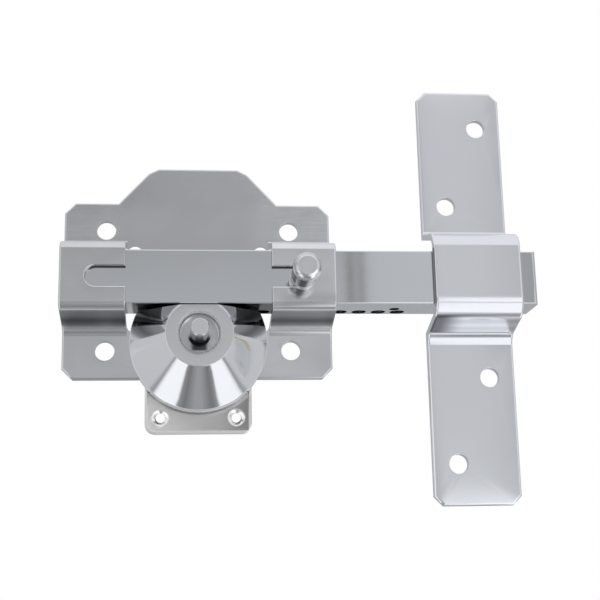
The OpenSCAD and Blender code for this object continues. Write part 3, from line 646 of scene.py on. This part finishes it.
# %% Finishes
ALONG_X = (90.0, 900.0, 2600.0)
EVEN = (500.0, 500.0, 500.0)
NICKEL = (0.74, 0.75, 0.765)
MIRROR = dict(drift=0.02, rough=0.05, rough_grain=0.03, rough_cloud=0.04, stretch=EVEN, bump=0.02,
              bump_depth=0.02 * mm, cloud_size=50)
finish = {
    "brushed_nickel": metal(
        "brushed_nickel", (0.60, 0.605, 0.62), drift=0.07, rough=0.12, rough_grain=0.16, rough_cloud=0.04,
        stretch=ALONG_X, bump=0.18, bump_depth=0.06 * mm, cloud_size=45, look=plate_look, zone=brushed_zone),
    "polished_nickel": metal("polished_nickel", NICKEL, **MIRROR),
    "cone_nickel": metal("cone_nickel", NICKEL, **MIRROR, look=cone_look),
    "button_nickel": metal(
        "button_nickel", NICKEL, drift=0.02, rough=0.08, rough_grain=0.04, rough_cloud=0.04,
        stretch=EVEN, bump=0.03, bump_depth=0.02 * mm, cloud_size=90, look=button_look),
    "knob_nickel": metal(
        "knob_nickel", NICKEL, drift=0.03, rough=0.14, rough_grain=0.05, rough_cloud=0.06,
        stretch=EVEN, bump=0.05, bump_depth=0.03 * mm, cloud_size=160, look=knob_look),
    "bolt_nickel": metal(
        "bolt_nickel", (0.655, 0.67, 0.685), drift=0.02, rough=0.02, rough_grain=0.02, rough_cloud=0.02,
        stretch=ALONG_X, bump=0.02, bump_depth=0.01 * mm, cloud_size=40, look=bolt_look, look_rough=0.3),
    "strike_nickel": metal(
        "strike_nickel", (0.75, 0.76, 0.785), drift=0.02, rough=0.10, rough_grain=0.03, rough_cloud=0.04,
        stretch=EVEN, bump=0.01, bump_depth=0.01 * mm, cloud_size=35, look=strike_look, look_rough=0.06),
    "satin_nickel": metal(
        "satin_nickel", (0.70, 0.69, 0.67), drift=0.05, rough=0.28, rough_grain=0.12, rough_cloud=0.05,
        stretch=EVEN, bump=0.35, bump_depth=0.08 * mm, cloud_size=60, look=back_plate_look, look_rough=0.3),
    "bare_steel": metal(
        "bare_steel", (0.52, 0.53, 0.55), drift=0.08, rough=0.30, rough_grain=0.12, rough_cloud=0.08,
        stretch=EVEN, bump=0.2, bump_depth=0.05 * mm, cloud_size=90),
    "brass": metal(
        "brass", (0.76, 0.60, 0.33), drift=0.07, rough=0.24, rough_grain=0.10, rough_cloud=0.10,
        stretch=EVEN, bump=0.15, bump_depth=0.04 * mm, cloud_size=80),
}
print("finishes", sorted(finish))

# %% [markdown]
# ## Working copies
# A CAD mesh comes as loose triangles with knife-sharp edges. `working_copy` merges them and joins
# the triangles of each flat facet, so that the bevel operator meets clean edges. `soften` rounds
# the edges a rule picks. `place` splits the large flat faces into triangles again, which keeps
# their shading even, and turns the result into a piece that rides on its body.

# %% Copy, soften and place
SAME_POINT, NO_AREA = 2e-6, 1e-6
FLAT_UNDER, SHARP_OVER, SHADE_SPLIT = 0.4, 35, 38


def working_copy(node):
    bm = bmesh.new()
    bm.from_mesh(nodes[node].data)
    bmesh.ops.remove_doubles(bm, verts=bm.verts, dist=SAME_POINT)
    bmesh.ops.dissolve_limit(bm, angle_limit=radians(FLAT_UNDER), verts=bm.verts, edges=bm.edges)
    bmesh.ops.dissolve_degenerate(bm, dist=NO_AREA, edges=bm.edges)
    return bm


def sharp(edge, degrees=SHARP_OVER):
    return len(edge.link_faces) == 2 and edge.calc_face_angle(0.0) > radians(degrees)


def soften(bm, width, segments, rule=lambda e: True, degrees=SHARP_OVER, clamp=True):
    picked = [e for e in bm.edges if sharp(e, degrees) and rule(e)]
    if picked:
        bmesh.ops.bevel(bm, geom=picked, offset=width, offset_type="OFFSET", segments=segments,
                        profile=0.5, affect="EDGES", clamp_overlap=clamp, material=-1)
    return len(picked)


def place(bm, node, material):
    name = node + "_formed"
    mesh = bpy.data.meshes.new(name)
    bmesh.ops.triangulate(bm, faces=[f for f in bm.faces if len(f.verts) > 4], ngon_method="BEAUTY")
    for f in bm.faces:
        f.smooth = True
    for e in bm.edges:
        e.smooth = not sharp(e, SHADE_SPLIT)
    bm.to_mesh(mesh)
    bm.free()
    piece = bpy.data.objects.new(name, mesh)
    bpy.context.scene.collection.objects.link(piece)
    mesh.materials.append(material)
    even = piece.modifiers.new("even", "WEIGHTED_NORMAL")
    even.keep_sharp = True
    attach(piece, body_of_node[node])
    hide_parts(node)
    print(name, "faces", len(mesh.polygons))
    return piece

# %% [markdown]
# ## Pressed sheet: which edges are round
# A press tool leaves the front edge of a sheet round and the back edge almost sharp. The rule for
# the wide bevel reads the two faces at an edge: one looks forward, the other is a cut edge of the
# sheet. Holes, slots and the inner ends of the bridges get a narrow bevel, and the window behind
# the bolt stays as punched.

# %% Rules for the edges of the sheet
WINDOW_SIDE, WINDOW_LOW, WINDOW_HIGH, BRIDGE_FROM = 28.3 * mm, -34 * mm, 20 * mm, 5 * mm
SLOT_REACH, SLOT_MIDDLE, SLOT_HALF, SLOT_DEPTH = 44 * mm, 0.9 * mm, 4.3 * mm, 19 * mm
HOLE_REACH, RING_MISS = 4.2 * mm, 0.06 * mm
FORWARD, SIDEWAYS = -0.15, 0.1


def middle(e):
    return (e.verts[0].co + e.verts[1].co) / 2


def front_rim(e):
    forward_side = [f.normal.y < FORWARD for f in e.link_faces]
    cut_side = [abs(f.normal.y) < SIDEWAYS for f in e.link_faces]
    return (forward_side[0] and cut_side[1]) or (forward_side[1] and cut_side[0])


def between_bridges(e):
    at = middle(e)
    return abs(at.x) < WINDOW_SIDE and WINDOW_LOW < at.z < WINDOW_HIGH


def in_window(e):
    return between_bridges(e) and -middle(e).y < BRIDGE_FROM


def on_inner_end(e):
    return between_bridges(e) and -middle(e).y >= BRIDGE_FROM


def on_slot(e):
    at = middle(e)
    return -at.y > SLOT_DEPTH and abs(at.x) < SLOT_REACH and abs(at.z - SLOT_MIDDLE) < SLOT_HALF


def on_hole(e, holes):
    at = middle(e)
    return any(Vector((at.x - x * mm, at.z - z * mm)).length < HOLE_REACH for x, z in holes)


def ring_edge(radius, depth):
    def on_ring(v):
        off_axis = Vector((v.co.x - cone_x, v.co.z - cone_z)).length
        return abs(v.co.y + depth) < RING_MISS and abs(off_axis - radius) < RING_MISS

    return lambda e: all(on_ring(v) for v in e.verts)

# %% [markdown]
# ## Lock plate and strike
# The outer rim comes first and widest. Each later bevel picks only edges that are still sharp.
# Each row below holds a name, the width in millimetres, the segments and the rule.

# %% Lock plate and strike
plate_holes = [(x, z) for x in (-36.15, 36.15) for z in (-24.3, 24.3)]
strike_holes = [(115.1, 69.5), (115.1, -35.3), (100.9, 35.5), (100.9, -69.3)]


def outer_rim(e):
    return front_rim(e) and not (in_window(e) or on_inner_end(e) or on_slot(e) or on_hole(e, plate_holes))


plate = working_copy("lock_plate")
for label, width, segments, rule in (
        ("outer rim", 0.8, 3, outer_rim),
        ("inner ends", 0.35, 2, lambda e: front_rim(e) and on_inner_end(e) and not on_slot(e)),
        ("slots", 0.5, 3, lambda e: front_rim(e) and on_slot(e)),
        ("holes", 0.25, 2, lambda e: front_rim(e) and on_hole(e, plate_holes))):
    print("lock plate", label, soften(plate, width * mm, segments, rule, clamp=False))
place(plate, "lock_plate", finish["brushed_nickel"])

strike = working_copy("strike")
for label, width, segments, rule in (
        ("outer rim", 1.0, 3, lambda e: front_rim(e) and not on_hole(e, strike_holes)),
        ("holes", 0.25, 2, lambda e: front_rim(e) and on_hole(e, strike_holes))):
    print("strike", label, soften(strike, width * mm, segments, rule, clamp=False))
place(strike, "strike", finish["strike_nickel"])

# %% [markdown]
# ## Cone and knob
# The mouth of the cone is turned to a soft lip, its front ring only has the corner broken. The
# knob's flat end runs over into the crown with a wide soft edge.

# %% Cone and knob
MOUTH_RADIUS, RING_RADIUS, FLAT_END_MISS = 7.3 * mm, 12.7 * mm, 0.05 * mm
cone = working_copy("cone_rose")
for label, width, segments, rule, clamp in (
        ("mouth", 1.2, 5, ring_edge(MOUTH_RADIUS, cone_front), False),
        ("front ring", 0.2, 2, ring_edge(RING_RADIUS, cone_front), False),
        ("others", 0.3, 2, lambda e: True, True)):
    print("cone", label, soften(cone, width * mm, segments, rule, clamp=clamp))
place(cone, "cone_rose", finish["cone_nickel"])


def on_flat_end(e):
    return all(abs(v.co.y - knob_box[0].y) < FLAT_END_MISS for v in e.verts)


knob = working_copy("bolt_knob")
print("knob flat end", soften(knob, 0.7 * mm, 4, on_flat_end, degrees=15, clamp=False))
print("knob others", soften(knob, 0.2 * mm, 2))
place(knob, "bolt_knob", finish["knob_nickel"])

# %% [markdown]
# ## Solid and turned pieces
# Bar stock and turned parts only have their corners broken. One narrow bevel each is enough, and
# the width is given in millimetres after the finish.

# %% The other pieces
broken_corners = {
    "bolt": ("bolt_nickel", 0.1), "push_button": ("button_nickel", 0.15),
    "back_plate": ("satin_nickel", 0.3), "cylinder_collar": ("polished_nickel", 0.5),
    "cylinder_body": ("brass", 0.3), "key_plug": ("brass", 0.15), "drive_wheel": ("brass", 0.2),
    "connecting_screws": ("bare_steel", 0.15), "rose_rivets": ("bare_steel", 0.2),
    "button_bracket": ("bare_steel", 0.2), "tailpiece": ("bare_steel", 0.2),
}
for node, (finish_name, width) in broken_corners.items():
    bm = working_copy(node)
    soften(bm, width * mm, 2)
    place(bm, node, finish[finish_name])

# %% [markdown]
# ## Button spring
# The spring is placed like the other pieces and gets a mesh of its own.

# %% Button spring
spring = place(working_copy("button_spring"), "button_spring", finish["bare_steel"])
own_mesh(spring)

# %% [markdown]
# ## Carried-over nodes
# Pins, clips and the tumbler springs keep their CAD mesh and only get a finish.

# %% Finish of the carried-over nodes
for node, obj in nodes.items():
    obj.data.materials.clear()
    obj.data.materials.append(finish[slot_of_node[node]])
print("carried over", sorted(n for n, o in nodes.items() if not o.hide_render))

# %% [markdown]
# ## World and floor
# The background is white to the camera and a little weaker as a light, so that the floor isn't
# burnt out. Glossy rays see the tent instead of the floor.

# %% World and floor
FLOOR_HEIGHT, FLOOR_HALF = -0.2, 3.0
WHITE, PALE = (1.0, 1.0, 1.0, 1.0), (0.88, 0.88, 0.89, 1.0)
AS_LIGHT, AS_BACKGROUND, FLOOR_ROUGH = 0.75, 1.0, 0.9


def stage_piece(bm, name, material):
    mesh = bpy.data.meshes.new(name)
    bm.to_mesh(mesh)
    bm.free()
    obj = bpy.data.objects.new(name, mesh)
    bpy.context.scene.collection.objects.link(obj)
    mesh.materials.append(material)
    return obj


world = bpy.data.worlds.new("studio")
bpy.context.scene.world = world
world.use_nodes = True
sky = world.node_tree
background = sky.nodes["Background"].inputs
background["Color"].default_value = WHITE
rays = add(sky, "ShaderNodeLightPath").outputs
seen = calc(sky, "ADD", rays["Is Camera Ray"], rays["Is Glossy Ray"])
seen = calc(sky, "MINIMUM", calc(sky, "ADD", seen, rays["Is Transmission Ray"]), 1.0)
wire(sky, (blend(sky, AS_LIGHT, AS_BACKGROUND, seen), background["Strength"]))

floor_paint = bpy.data.materials.new("floor")
floor_paint.use_nodes = True
floor_shader = floor_paint.node_tree.nodes["Principled BSDF"].inputs
floor_shader["Base Color"].default_value = PALE
floor_shader["Roughness"].default_value = FLOOR_ROUGH

bm = bmesh.new()
bmesh.ops.create_grid(bm, x_segments=1, y_segments=1, size=FLOOR_HALF)
bmesh.ops.translate(bm, vec=(0, 0, FLOOR_HEIGHT), verts=bm.verts)
floor = stage_piece(bm, "floor", floor_paint)
floor.visible_glossy = False
print("floor at", FLOOR_HEIGHT)

# %% [markdown]
# ## Tent: directions
# Polished metal shows its surroundings, so the studio is a large tent that only the metal sees.
# Its brightness depends on the direction alone: azimuth 0 is the viewer's side, plus is to the
# right, and elevation counts up from the horizon. The tent is far away, so a piece that moves
# keeps its reflections.

# %% Tent: directions
TENT_COLOUR = (0.985, 1.0, 1.03, 1.0)
tent_paint = bpy.data.materials.new("tent")
tent_paint.use_nodes = True
tree = tent_paint.node_tree
tree.nodes.remove(tree.nodes["Principled BSDF"])
tent_light = add(tree, "ShaderNodeEmission", {"Color": TENT_COLOUR})
unit_direction = add(tree, "ShaderNodeVectorMath", operation="NORMALIZE")
direction_parts = add(tree, "ShaderNodeSeparateXYZ")
wire(tree, (add(tree, "ShaderNodeTexCoord").outputs["Object"], unit_direction.inputs[0]),
     (unit_direction.outputs[0], direction_parts.inputs[0]))
to_viewer = calc(tree, "MULTIPLY", direction_parts.outputs["Y"], -1.0)
azimuth = calc(tree, "DEGREES", calc(tree, "ARCTAN2", direction_parts.outputs["X"], to_viewer))
elevation = calc(tree, "DEGREES", calc(tree, "ARCSINE", direction_parts.outputs["Z"]))
off_axis = calc(tree, "ABSOLUTE", azimuth)
print("tent nodes", len(tree.nodes))

# %% [markdown]
# ## Tent: the viewer's side
# The flat faces mirror the small patch round azimuth 0: the lock plate looks a little left of
# azimuth 8, the strike right of it, and the bolt into the narrow dark stripes between. Below the
# horizon two bright fields light the bends of the strike and the wedges on the cone. All stops
# are pairs of degrees and brightness, and `field` is a mask with a soft edge on either side.

# %% Tent: viewer's side
FRONT_WIDE = [
    (-180, 0.60), (-125, 0.66), (-98, 0.69), (-85, 0.75), (-60, 0.85), (-25, 0.80), (-12, 0.53), (18, 0.56),
    (24, 0.60), (32, 0.92), (60, 0.92), (85, 0.72), (98, 0.66), (125, 0.62), (180, 0.60)]
FRONT_FINE = [
    (-12, 0.53), (-4, 0.50), (5, 0.52), (7.8, 0.53), (8.3, 0.55), (8.6, 0.52), (8.86, 0.24), (9.08, 0.52),
    (9.22, 0.52), (9.46, 0.26), (9.66, 0.62), (9.9, 0.67), (12, 0.69), (14, 0.70), (16.8, 0.69),
    (17.1, 0.58), (18, 0.56)]
FALLING = [(0, 1.24), (10, 1.22), (12, 1.16), (14.5, 1.07), (17, 0.95), (20, 0.90), (30, 0.90)]
LOW_PLAIN = [(-90, 0.34), (-72, 0.31), (-54, 0.36), (-38, 0.46), (0, 0.48)]
LOW_BRIGHT = [(-90, 0.38), (-84, 0.40), (-76, 0.80), (-68, 0.60), (-60, 1.22), (0, 1.22)]
OVERHEAD = 0.95
FINE_PART, RIGHT_FIELD, LEFT_FIELD = (-12, -11, 17, 18), (9.5, 12.5, 45, 60), (-70, -60, -38, -30)
PAST_PLATE, HORIZON, UPWARD = (7, 9.5), (0.5, 3.5), (24, 29)


def field(source, start, full, full_end, end):
    return product(tree, step(tree, source, start, full), step(tree, source, end, full_end))


wide, fine = curve(tree, azimuth, FRONT_WIDE), curve(tree, azimuth, FRONT_FINE)
facing_plate = blend(tree, wide, fine, field(azimuth, *FINE_PART))
height_tone = blend(tree, curve(tree, elevation, FALLING), 1.0, step(tree, azimuth, *PAST_PLATE))
front = product(tree, facing_plate, height_tone)
bright_fields = calc(tree, "ADD", field(azimuth, *RIGHT_FIELD), field(azimuth, *LEFT_FIELD))
low = blend(tree, curve(tree, elevation, LOW_PLAIN), curve(tree, elevation, LOW_BRIGHT), bright_fields)
ahead = blend(tree, low, front, step(tree, elevation, *HORIZON))
ahead = blend(tree, ahead, OVERHEAD, step(tree, elevation, *UPWARD))
print("tent nodes", len(tree.nodes))

# %% [markdown]
# ## Tent: both sides and behind
# The cone mirrors both sides of the tent from low to high, so the stops here are the stripes that
# run down its slope. What lies behind shows only in the bends and in the outer rims.

# %% Tent: sides, back and the tent itself
TENT_RADIUS = 8.0
BOTH_SIDES, BACK = (62, 74, 125, 140), (125, 140)
BESIDE = [
    (-90, 0.44), (-84, 0.38), (-80, 0.32), (-75, 0.23), (-71, 0.30), (-68.5, 0.36), (-66.5, 1.18),
    (-63, 1.22), (-46, 1.22), (-43, 1.0), (-40.5, 0.42), (-38.5, 0.42), (-35, 0.68), (0, 0.68),
    (24, 0.66), (40, 0.90), (90, 0.95)]
BEHIND = [
    (-90, 0.40), (-75, 0.44), (-62, 0.58), (-50, 0.50), (-43, 0.40), (0, 0.45), (30, 0.50), (45, 0.90),
    (90, 0.95)]
level = blend(tree, ahead, curve(tree, elevation, BESIDE), field(off_axis, *BOTH_SIDES))
level = blend(tree, level, curve(tree, elevation, BEHIND), step(tree, off_axis, *BACK))
wire(tree, (level, tent_light.inputs["Strength"]),
     (tent_light.outputs[0], tree.nodes["Material Output"].inputs["Surface"]))

bm = bmesh.new()
bmesh.ops.create_icosphere(bm, subdivisions=4, radius=TENT_RADIUS)
bmesh.ops.reverse_faces(bm, faces=bm.faces)
tent = stage_piece(bm, "tent", tent_paint)
tent.visible_camera = False
tent.visible_shadow = False
tent.visible_diffuse = False
print("stage pieces", floor.name, tent.name)
